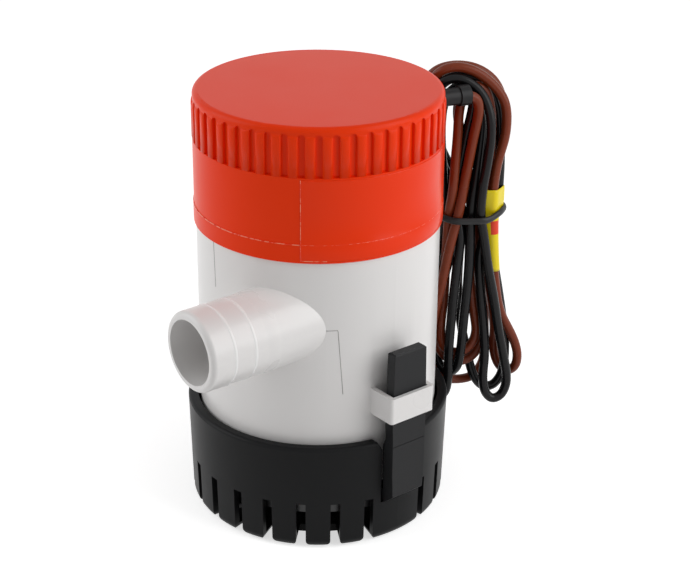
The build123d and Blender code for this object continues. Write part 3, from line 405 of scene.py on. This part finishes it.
def smooth_line(knots, step):
    """Evenly spaced points on a centripetal Catmull-Rom line through the knots."""
    first, last = 2 * knots[0] - knots[1], 2 * knots[-1] - knots[-2]
    knots = [first, *knots, last]
    line = []
    for p0, p1, p2, p3 in zip(knots, knots[1:], knots[2:], knots[3:]):
        t1 = (p1 - p0).length ** 0.5
        t2 = t1 + (p2 - p1).length ** 0.5
        t3 = t2 + (p3 - p2).length ** 0.5
        for i in range(KNOT_STEPS):
            t = t1 + (t2 - t1) * i / KNOT_STEPS
            a1 = p0.lerp(p1, t / t1)
            a2 = p1.lerp(p2, (t - t1) / (t2 - t1))
            a3 = p2.lerp(p3, (t - t2) / (t3 - t2))
            b1 = a1.lerp(a2, t / t2)
            b2 = a2.lerp(a3, (t - t1) / (t3 - t1))
            line.append(b1.lerp(b2, (t - t1) / (t2 - t1)))
    line.append(knots[-2])
    line = np.array([tuple(p) for p in line])
    along = np.r_[0, np.cumsum(np.linalg.norm(np.diff(line, axis=0), axis=1))]
    places = np.linspace(0, along[-1], int(round(along[-1] / step)) + 1)
    return np.stack([np.interp(places, along, line[:, k]) for k in range(3)], axis=1)


def nearest(a0, a1, b0, b1):
    """Where pairs of runs come nearest: shares along each, and the way from a to b."""
    u, v, w = a1 - a0, b1 - b0, a0 - b0
    a, b, c = (u * u).sum(1), (u * v).sum(1), (v * v).sum(1)
    d, e = (u * w).sum(1), (v * w).sum(1)
    s = np.clip((b * e - c * d) / np.maximum(a * c - b * b, 1e-9), 0, 1)
    t = np.clip((b * s + e) / c, 0, 1)
    s = np.clip((b * t - d) / a, 0, 1)
    return s, t, (b0 + v * t[:, None]) - (a0 + u * s[:, None])


def spline_samples(count):
    """Matrix from a cord's points to places on its order-3 spline, two for each point."""
    rows = np.zeros((2 * count - 3, count))
    for k in range(count - 2):
        corner = k + 1
        rows[2 * k, corner - 1:corner + 1] = 0.5
        rows[2 * k + 1, corner - 1:corner + 2] = 0.125, 0.75, 0.125
    rows[0] = 0
    rows[0, 0] = 1
    rows[1, :3] = 0.25, 0.625, 0.125
    rows[-2, -3:] = 0.125, 0.625, 0.25
    rows[-1, -1] = 1
    return rows


def pushed_apart(line, first, second):
    """Moves of the spline's places that part the runs that start at first and at second."""
    s, t, way = nearest(line[first], line[first + 1], line[second], line[second + 1])
    gap = np.linalg.norm(way, axis=1)
    near = gap < STRAND_GAP
    a, b, s, t, way = first[near], second[near], s[near], t[near], way[near]
    gap = np.maximum(gap[near], 0.001)
    push = ((STRAND_GAP - gap) / gap * 0.5)[:, None] * way
    move, share = np.zeros_like(line), np.zeros((len(line), 1))
    for place, weight, sign in ((a, 1 - s, -1), (a + 1, s, -1), (b, 1 - t, 1), (b + 1, t, 1)):
        np.add.at(move, place, sign * push * weight[:, None])
        np.add.at(share, place, weight[:, None])
    return move / np.maximum(share, 1)


def smoothed(drift, inner, free):
    for _ in range(SMOOTH_TIMES):
        bend = np.zeros_like(drift)
        bend[inner] = (drift[inner - 1] + drift[inner + 1]) / 2 - drift[inner]
        drift = drift + SMOOTH_SHARE * bend * free
    return drift


def bends_opened(points, inner):
    """Moves of the points that open the bends tighter than BEND_R."""
    before, after = points[inner] - points[inner - 1], points[inner + 1] - points[inner]
    before_long, after_long = np.linalg.norm(before, axis=1), np.linalg.norm(after, axis=1)
    leg = np.minimum(before_long, after_long) / 2
    cosine = (before * after).sum(1) / before_long / after_long
    half = np.arccos(np.clip(cosine, -1, 1)) / 2
    radius = leg * np.cos(half) / np.maximum(np.tan(half), 1e-6)
    ease = np.clip(1 - radius / BEND_R, 0, 1)[:, None] * BEND_SHARE
    shift = np.zeros_like(points)
    flat = ((after - before) / 2) * ease
    np.add.at(shift, inner, flat)
    np.add.at(shift, inner - 1, -flat / 2)
    np.add.at(shift, inner + 1, -flat / 2)
    return shift


def clear_of_pump(points, free):
    """Moves the free points out of the housing and of the strainer's rim, in place."""
    out = np.hypot(points[:, 0], points[:, 1])
    keep = np.where(points[:, 2] < STRAINER_KEEP[1], STRAINER_KEEP[0], PUMP_KEEP_R)
    grow = 1 + (np.maximum(keep / out, 1) - 1) * free[:, 0]
    points[:, :2] *= grow[:, None]


def settle(cords):
    """Moves the points of both leads until no strand lies in another, in the order laid."""
    count = [len(c) for c in cords]
    points = np.vstack(cords)
    laid = points.copy()
    maps = [spline_samples(n) for n in count]
    samples = [len(m) for m in maps]
    to_spline = np.zeros((sum(samples), sum(count)))
    to_spline[:samples[0], :count[0]] = maps[0]
    to_spline[samples[0]:, count[0]:] = maps[1]
    runs = np.r_[np.arange(samples[0] - 1), samples[0] + np.arange(samples[1] - 1)]
    owner = np.repeat([0, 1], [n - 1 for n in samples])
    i, j = np.triu_indices(len(runs), 1)
    apart = (owner[i] != owner[j]) | (runs[j] - runs[i] > OWN_RUNS)
    i, j = runs[i[apart]], runs[j[apart]]
    free = np.ones((len(points), 1))
    starts = [0, count[0]]
    for s in starts:
        free[s:s + HELD] = 0
    inner = np.concatenate([np.arange(s + 1, s + n - 1) for s, n in zip(starts, count)])
    for turn in range(SETTLE_ROUNDS):
        line = to_spline @ points
        if turn % SEARCH_EVERY == 0:
            way = (line[i] + line[i + 1] - line[j] - line[j + 1]) / 2
            close = np.linalg.norm(way, axis=1) < SEARCH_GAP
        points = points + PUSH_SHARE * (to_spline.T @ pushed_apart(line, i[close], j[close])) * free
        drift = smoothed(points - laid, inner, free)
        drift *= 1 - RETURN_SHARE * (1 - turn / SETTLE_ROUNDS)
        points = laid + drift
        points = points + bends_opened(points, inner) * free
        clear_of_pump(points, free)
    return points[:count[0]], points[count[0]:]


def lead_points(route, bights):
    """A lead's points from the gland to the tie, and the even points of its turns."""
    route = [hank_point(*point) for point in route]
    turns = smooth_line([route[-1]] + [hank_point(*point) for point in bights], TURN_STEP)[1:]
    return np.vstack([[tuple(p) for p in route], turns])


def lead_curve(name, points):
    data = bpy.data.curves.new(name, "CURVE")
    data.dimensions = "3D"
    data.resolution_u = 5
    data.bevel_depth = LEAD_D / 2 * MM
    data.bevel_resolution = 6
    data.use_fill_caps = True
    spline = data.splines.new("NURBS")
    spline.points.add(len(points) - 1)
    for place, point in zip(spline.points, points):
        place.co = (*(point * MM), 1)
    spline.order_u = 3
    spline.use_endpoint_u = True
    piece = bpy.data.objects.new(name, data)
    bpy.context.scene.collection.objects.link(piece)
    return piece


def mesh_piece(name, verts, faces):
    """A smooth mesh object from points in millimetres."""
    mesh = bpy.data.meshes.new(name)
    mesh.from_pydata([tuple(Vector(v) * MM) for v in verts], [], faces)
    mesh.validate()
    for face in mesh.polygons:
        face.use_smooth = True
    piece = bpy.data.objects.new(name, mesh)
    bpy.context.scene.collection.objects.link(piece)
    return piece


def make_leads():
    brown, black = settle([lead_points(BROWN_ROUTE, BROWN_BIGHTS),
                           lead_points(BLACK_ROUTE, BLACK_BIGHTS)])
    for color, points in (("brown", brown), ("black", black)):
        lead = lead_curve("lead_" + color, points)
        dress(lead, "pump", color + "_pvc", color)
        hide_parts(color + "_lead", "wire_hank")
    return brown, black


BROWN_LINE, BLACK_LINE = make_leads()


def crossings(line, z):
    """Where a lead's spline passes a height, as (across, forward) in the hank's frame."""
    path = spline_samples(len(line)) @ line
    low, high = path[:-1], path[1:]
    hit = np.nonzero((low[:, 2] - z) * (high[:, 2] - z) < 0)[0]
    share = (z - low[hit, 2]) / (high[hit, 2] - low[hit, 2])
    place = low[hit] + (high[hit] - low[hit]) * share[:, None]
    a = radians(HANK_DEG)
    x, y = place[:, 0] - HANK_CENTRE[0], place[:, 1] - HANK_CENTRE[1]
    return np.stack([x * cos(a) + y * sin(a), x * sin(a) - y * cos(a)], axis=1)


def face_outward(piece):
    work = bmesh.new()
    work.from_mesh(piece.data)
    bmesh.ops.recalc_face_normals(work, faces=work.faces)
    work.to_mesh(piece.data)
    work.free()


def slab(name, front, back, print_on=None):
    """A closed thin sheet between two grids of points.

    print_on picks front cells, by row and column, for the second material."""
    rows, columns = len(front), len(front[0])
    verts = [point for grid in (front, back) for row in grid for point in row]
    under = rows * columns
    faces, inks = [], []
    for r in range(rows - 1):
        for c in range(columns - 1):
            k = r * columns + c
            faces.append((k, k + columns, k + columns + 1, k + 1))
            inks.append(bool(print_on and print_on(r, c)))
            faces.append((under + k, under + k + 1, under + k + columns + 1, under + k + columns))
            inks.append(False)
    rim = (list(range(columns)) + [r * columns + columns - 1 for r in range(1, rows)]
           + [(rows - 1) * columns + c for c in range(columns - 2, -1, -1)]
           + [r * columns for r in range(rows - 2, 0, -1)])
    for a, b in zip(rim, rim[1:] + rim[:1]):
        faces.append((a, b, under + b, under + a))
        inks.append(False)
    piece = mesh_piece(name, verts, faces)
    for face, ink in zip(piece.data.polygons, inks):
        face.material_index = int(ink)
    face_outward(piece)
    return piece


# ---- the tag and the tie ------------------------------------------------------------------
TAG_LOW, TAG_TOP = 52.7, 75.5
TAG_ROWS = 31
TAG_COLUMNS = 26
TAG_EDGES = ((2.6, 3.2), (4.4, 3.0))    # its left edge, across and forward: top, bottom
TAG_STRANDS = ((5.0, 2.1), (6.9, 0.0))  # the brown and black strand in it, at the tie
TAG_OFF = 0.18                # film to the strand
TAG_FILM = 0.14
TAG_START_DEG, TAG_BACK_DEG = 115.0, -160.0
TAG_TURNS = 60                # steps round the strands
TAG_WIDTH = 7.6
TAG_SMOOTH = 6
TAG_PRINT_Z = (63.9, 67.4)
TAG_PRINT_COLUMNS = range(5, 16)
TIE_HALF_T, TIE_HALF_H = 0.6, 0.9
TIE_LIFT = 0.9                # its right end stands this much higher,
TIE_LIFT_FROM, TIE_LIFT_OVER = 3.5, 4.0    # from here across, over this width
TIE_SIDES, TIE_ROUND = 90, 14
TIE_SMOOTH = 3


def follow(line, at, levels):
    """Where one strand of a lead is at each level, from its place at the tie."""
    found = {}
    for side in (1, -1):
        place = np.array(at)
        beyond = [z for z in levels if (z - TIE_Z) * side >= 0]
        for z in sorted(beyond, key=lambda z: abs(z - TIE_Z)):
            places = crossings(line, z)
            place = places[np.argmin(np.hypot(*(places - place).T))]
            found[z] = place
    return found


def evenly(line, count, reach=1e3):
    """Even points on a line of runs, no further along it than the reach."""
    along = np.r_[0, np.cumsum(np.hypot(*np.diff(line, axis=0).T))]
    places = np.linspace(0, min(reach, along[-1]), count)
    return np.stack([np.interp(places, along, line[:, k]) for k in (0, 1)], axis=1)


def tag_rows():
    """Levels of the tag, each from its left edge over the front and round the right strands."""
    levels = np.linspace(TAG_TOP, TAG_LOW, TAG_ROWS)
    brown = follow(BROWN_LINE, TAG_STRANDS[0], levels)
    black = follow(BLACK_LINE, TAG_STRANDS[1], levels)
    rows = []
    for z in levels:
        share = (TAG_TOP - z) / (TAG_TOP - TAG_LOW)
        edge = np.array(TAG_EDGES[0]) * (1 - share) + np.array(TAG_EDGES[1]) * share
        middles, r = np.array([brown[z], black[z]]), LEAD_D / 2 + TAG_OFF
        if black[z][0] < brown[z][0]:
            middles = middles[:1]
        way = edge - brown[z]
        start = atan2(way[1], way[0]) - acos(min(1, r / hypot(*way)))
        start = min(start, radians(TAG_START_DEG))
        row = [edge]
        for turn in np.linspace(start, radians(TAG_BACK_DEG), TAG_TURNS):
            toward = np.array([cos(turn), sin(turn)])
            row.append(middles[np.argmax(middles @ toward)] + r * toward)
        rows.append(evenly(np.array(row), TAG_COLUMNS, TAG_WIDTH))
    rows = np.array(rows)
    for _ in range(TAG_SMOOTH):
        rows[1:-1] += 0.25 * (rows[:-2] + rows[2:] - 2 * rows[1:-1])
        for row, z in zip(rows, levels):
            for middle in (brown[z], black[z]):
                out = row - middle
                gap = np.hypot(*out.T)[:, None]
                row += out / gap * np.maximum(LEAD_D / 2 + TAG_OFF - gap, 0)
    return levels, rows


def make_tag():
    """Makes the tag and returns its section at the tie, for the tie to go round."""
    levels, rows = tag_rows()
    front, back = [], []
    for z, row in zip(levels, rows):
        along = np.gradient(row, axis=0)
        out = np.stack([-along[:, 1], along[:, 0]], axis=1) / np.hypot(*along.T)[:, None]
        front.append([hank_point(s, f, z) for s, f in row + TAG_FILM * out])
        back.append([hank_point(s, f, z) for s, f in row])
    printed = [r for r, z in enumerate(levels) if TAG_PRINT_Z[0] < z <= TAG_PRINT_Z[1]]
    tag = slab("wire_tag_film", front, back, lambda r, c: r in printed and c in TAG_PRINT_COLUMNS)
    dress(tag, "pump", "yellow_label", "tag", "tag_red")
    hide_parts("wire_tag")
    return rows[np.argmin(np.abs(levels - TIE_Z))]


def make_tie(film):
    """A soft band drawn round all the strands and the tag."""
    strands = np.vstack([crossings(line, TIE_Z) for line in (BROWN_LINE, BLACK_LINE)])
    middles = np.vstack([strands, film])
    reach = np.r_[np.full(len(strands), LEAD_D / 2), np.full(len(film), TAG_FILM)] + TIE_HALF_T
    ways = np.linspace(0, 2 * pi, TIE_SIDES, endpoint=False)
    line = []
    for way in ways:
        toward = np.array([cos(way), sin(way)])
        best = np.argmax(middles @ toward + reach)
        line.append(middles[best] + reach[best] * toward)
    line = np.array(line)
    line = evenly(np.vstack([line, line[:1]]), TIE_SIDES + 1)[:-1]
    for _ in range(TIE_SMOOTH):
        line = (np.roll(line, 1, 0) + np.roll(line, -1, 0) + 2 * line) / 4
    ahead = np.roll(line, -1, 0) - np.roll(line, 1, 0)
    out = np.stack([ahead[:, 1], -ahead[:, 0]], axis=1) / np.hypot(*ahead.T)[:, None]
    right = np.clip((line[:, 0] - TIE_LIFT_FROM) / TIE_LIFT_OVER, 0, 1)
    level = TIE_Z + TIE_LIFT * right ** 2 * (3 - 2 * right)
    section = [(cos(t), sin(t)) for t in np.linspace(0, 2 * pi, TIE_ROUND, endpoint=False)]
    verts = [hank_point(*(place + TIE_HALF_T * c * way), z + TIE_HALF_H * v)
             for place, way, z in zip(line, out, level) for c, v in section]
    faces = []
    for k in range(TIE_SIDES):
        here, after = k * TIE_ROUND, (k + 1) % TIE_SIDES * TIE_ROUND
        for m in range(TIE_ROUND):
            n = (m + 1) % TIE_ROUND
            faces.append((here + m, after + m, after + n, here + n))
    tie = mesh_piece("wire_tie", verts, faces)
    face_outward(tie)
    dress(tie, "pump", "black_rubber", "tie")
    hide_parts("twist_tie")


make_tie(make_tag())

# ---- the cap's ribs and film ----------------------------------------------------------------
RIB_COUNT = 48
RIB_R = 30.0
RIB_HALF_W = 1.16
RIB_RISE = 0.34
RIB_SUNK = 0.04               # its edges lie this far in the cap
RIB_Z = (96.65, 106.4)
RIB_END = 1.5                 # length of the rounded top end
RIB_CELLS = 10                # across one rib
RIB_END_CELLS = 6
FILM_DEG = (-45.5, 70.0)
FILM_EDGE_DEG = 0.3           # its left edge,
FILM_NEXT_DEG = 3.0           # and where the even cells start, from there
FILM_COLUMNS = 40
FILM_PALE_COLUMNS = 5         # of its lower edge, from the left one
FILM_LINE = ((76.4, 30.36), (76.6, 30.39), (80.3, 30.39), (80.55, 30.25), (88.0, 30.25),
             (95.9, 30.25), (96.15, 30.25))    # height, radius of the cap
FILM_T, FILM_SUNK = 0.05, 0.03
LINE_Z, LINE_R = (80.3, 80.46), (30.38, 30.2)    # low and high, outside and inside
LINE_STEP_DEG = 4


def on_wall(deg, r, z):
    return (r * cos(radians(deg)), r * sin(radians(deg)), z)


def make_cap_ribs():
    """Rounded faces of the grip ribs, running out at their tops."""
    ends = [k / RIB_END_CELLS * pi / 2 for k in range(RIB_END_CELLS + 1)]
    levels = [(RIB_Z[0], 0.0), (RIB_Z[0], 1.0)]
    levels += [(RIB_Z[1] - RIB_END + RIB_END * sin(t), cos(t)) for t in ends]
    across = [-cos(pi * k / RIB_CELLS) for k in range(RIB_CELLS + 1)]
    verts, faces = [], []
    for rib in range(RIB_COUNT):
        middle = (rib + 0.5) * 360 / RIB_COUNT
        first = len(verts)
        for z, full in levels:
            for u in across:
                rise = RIB_RISE * full * max(0.0, 1 - u * u) ** 0.5
                deg = middle + degrees(RIB_HALF_W * u / RIB_R)
                verts.append(on_wall(deg, RIB_R - RIB_SUNK + rise, z))
        width = len(across)
        for r in range(len(levels) - 1):
            for c in range(width - 1):
                k = first + r * width + c
                faces.append((k, k + 1, k + width + 1, k + width))
    ribs = mesh_piece("cap_ribs", verts, faces)
    dress(ribs, "pump", "red_plastic", "cap")


def make_cap_film():
    """The bare clear film that covers the front of the cap's skirt."""
    degs = [FILM_DEG[0], FILM_DEG[0] + FILM_EDGE_DEG]
    degs += list(np.linspace(FILM_DEG[0] + FILM_NEXT_DEG, FILM_DEG[1], FILM_COLUMNS))
    front, back = ([[on_wall(deg, r + rise, z) for deg in degs] for z, r in FILM_LINE]
                   for rise in (FILM_T, -FILM_SUNK))
    # the left column and the first cells of the lower edge take the painted edge highlight
    film = slab("cap_film", front, back, lambda r, c: c == 0 or (r == 0 and c < FILM_PALE_COLUMNS))
    dress(film, "pump", "red_plastic", "film", "edge_highlight")


def make_cap_step_highlight():
    """Painted highlight: the pale line where the skirt's lowest band steps out."""
    degs = range(0, 361, LINE_STEP_DEG)
    grids = [[[on_wall(deg, r, z) for deg in degs] for z in LINE_Z] for r in LINE_R]
    line = slab("cap_step_highlight", *grids)
    dress(line, "pump", "red_plastic", "edge_highlight")


make_cap_ribs()
make_cap_film()
make_cap_step_highlight()

# ---- fine lines on the housing ----------------------------------------------------------------
WALL_R = 29.8
SPIGOT = (14.8, 58.6)         # the spigot's axis, across and up
SPIGOT_R = 9.75
BAND_TURNS = 120
BAND_SUNK = 0.02              # its edges lie this far in the spigot
RING_YS = (-42.0, -36.4)
RING_HALF_W, RING_RISE = 0.4, 0.11
RING_SHAPE = [(RING_HALF_W * v, RING_RISE * (1 - v * v))
              for v in (-1, -0.7, -0.35, 0, 0.35, 0.7, 1)]
ROOT_Y = -31.0                # the fuller root starts here, with a soft rise: along, rise
ROOT_SHAPE = ((-2.4, -0.01), (-1.6, 0.03), (-0.8, 0.09), (-0.1, 0.135), (0.5, 0.14), (1.2, 0.13),
              (2.0, 0.09))
SEAMS = {                     # knots: degrees round the motor's axis, height
    "seam_upper": ((-93.6, 75.6), (-92.6, 64.0)),
    "seam_side": ((-34.0, 58.5), (-28.9, 58.5), (-28.6, 58.1), (-26.2, 41.5)),
}
SEAM_HALF_W = 0.09
SEAM_RISE, SEAM_SUNK = 0.02, 0.05
SEAM_CELLS = 6                # from one knot to the next


def spigot_band(name, y, shape, material):
    """A low band round the spigot, from (along, rise) points."""
    verts, faces = [], []
    for k in range(BAND_TURNS):
        t = 2 * pi * k / BAND_TURNS
        for along, rise in shape:
            r = SPIGOT_R - BAND_SUNK + rise
            verts.append((SPIGOT[0] + r * cos(t), y + along, SPIGOT[1] + r * sin(t)))
    width = len(shape)
    for k in range(BAND_TURNS):
        for c in range(width - 1):
            a, b = k * width + c, (k + 1) % BAND_TURNS * width + c
            faces.append((a, b, b + 1, a + 1))
    band = mesh_piece(name, verts, faces)
    face_outward(band)
    dress(band, "pump", "white_plastic", material)


def make_seams():
    """Witness lines of the mould on the housing's wall, in grey: painted shade along them."""
    for name, knots in SEAMS.items():
        path = []
        for (deg, z), (deg_2, z_2) in zip(knots, knots[1:]):
            path += [(deg + (deg_2 - deg) * k / SEAM_CELLS, z + (z_2 - z) * k / SEAM_CELLS)
                     for k in range(SEAM_CELLS)]
        path.append(knots[-1])
        path = np.array(path)
        flat = np.stack([np.radians(path[:, 0]) * WALL_R, path[:, 1]], axis=1)
        along = np.gradient(flat, axis=0)
        side = np.stack([-along[:, 1], along[:, 0]], axis=1) / np.hypot(*along.T)[:, None]
        edges = [flat + k * SEAM_HALF_W * side for k in (-1, 1)]
        grids = [[[on_wall(degrees(x / WALL_R), r, z) for x, z in edge] for edge in edges]
                 for r in (WALL_R + SEAM_RISE, WALL_R - SEAM_SUNK)]
        seam = slab(name, *grids)
        dress(seam, "pump", "white_plastic", "seam")


# the rings take the lighter white, a painted highlight along their crests
for number, ring_y in enumerate(RING_YS):
    spigot_band(f"spigot_ring_{number + 1}", ring_y, RING_SHAPE, "bead_highlight")
spigot_band("spigot_root", ROOT_Y, ROOT_SHAPE, "body")
make_seams()

# ---- stage -------------------------------------------------------------------------------
FLOOR_HALF = 1.5              # metres
FLOOR_LIFT = 0.62             # brings the floor up to white where it is seen
LIGHT_AIM = (0, 0, 0.055)
WORLD_LIGHT, WORLD_SEEN = 0.31, 1.0


def seen_directly(nodes, links):
    """1 for rays from the camera, and for those that gloss and glass send."""
    light_path = nodes.new("ShaderNodeLightPath")
    seen = light_path.outputs["Is Camera Ray"]
    for name in ("Is Glossy Ray", "Is Transmission Ray"):
        either = nodes.new("ShaderNodeMath")
        either.operation = "MAXIMUM"
        links.new(seen, either.inputs[0])
        links.new(light_path.outputs[name], either.inputs[1])
        seen = either.outputs["Value"]
    return seen


def make_floor():
    mesh = bpy.data.meshes.new("floor")
    corners = ((-1, -1), (1, -1), (1, 1), (-1, 1))
    mesh.from_pydata([(x * FLOOR_HALF, y * FLOOR_HALF, 0) for x, y in corners], [], [(0, 1, 2, 3)])
    floor = bpy.data.objects.new("floor", mesh)
    bpy.context.scene.collection.objects.link(floor)
    paint = Paint("floor")
    set_socket(paint.shader, Base_Color=(0.82, 0.82, 0.82, 1), Roughness=0.9,
               Specular_IOR_Level=0.1, Emission_Color=(1, 1, 1, 1))
    paint.link(paint.math("MULTIPLY", seen_directly(paint.nodes, paint.links), FLOOR_LIFT),
               paint.shader.inputs["Emission Strength"])
    mesh.materials.append(paint.material)


def area_light(name, place, size, power):
    data = bpy.data.lights.new(name, "AREA")
    data.shape = "RECTANGLE"
    data.size, data.size_y = size
    data.energy = power
    light = bpy.data.objects.new(name, data)
    bpy.context.scene.collection.objects.link(light)
    light.location = place
    direction = Vector(LIGHT_AIM) - Vector(place)
    light.rotation_euler = direction.to_track_quat("-Z", "Y").to_euler()


def from_camera(side, toward, up):
    """A point placed as the camera sees it: metres to its right, towards it, and up."""
    a = radians(VIEW_AZIMUTH)
    return (cos(a) * side + sin(a) * toward, sin(a) * side - cos(a) * toward, up)


def make_light():
    area_light("left", from_camera(-0.62, 0.02, 0.34), (0.50, 0.60), 2.0)
    area_light("right", from_camera(0.52, 0.20, 0.34), (0.45, 0.60), 2.4)
    world = bpy.data.worlds.new("studio")
    bpy.context.scene.world = world
    world.use_nodes = True
    nodes, links = world.node_tree.nodes, world.node_tree.links
    strength = nodes.new("ShaderNodeMapRange")
    strength.inputs["To Min"].default_value = WORLD_LIGHT
    strength.inputs["To Max"].default_value = WORLD_SEEN
    links.new(seen_directly(nodes, links), strength.inputs["Value"])
    links.new(strength.outputs["Result"], nodes["Background"].inputs["Strength"])
    nodes["Background"].inputs["Color"].default_value = (1, 1, 1, 1)


make_floor()
make_light()
bpy.context.scene.view_settings.view_transform = "Standard"
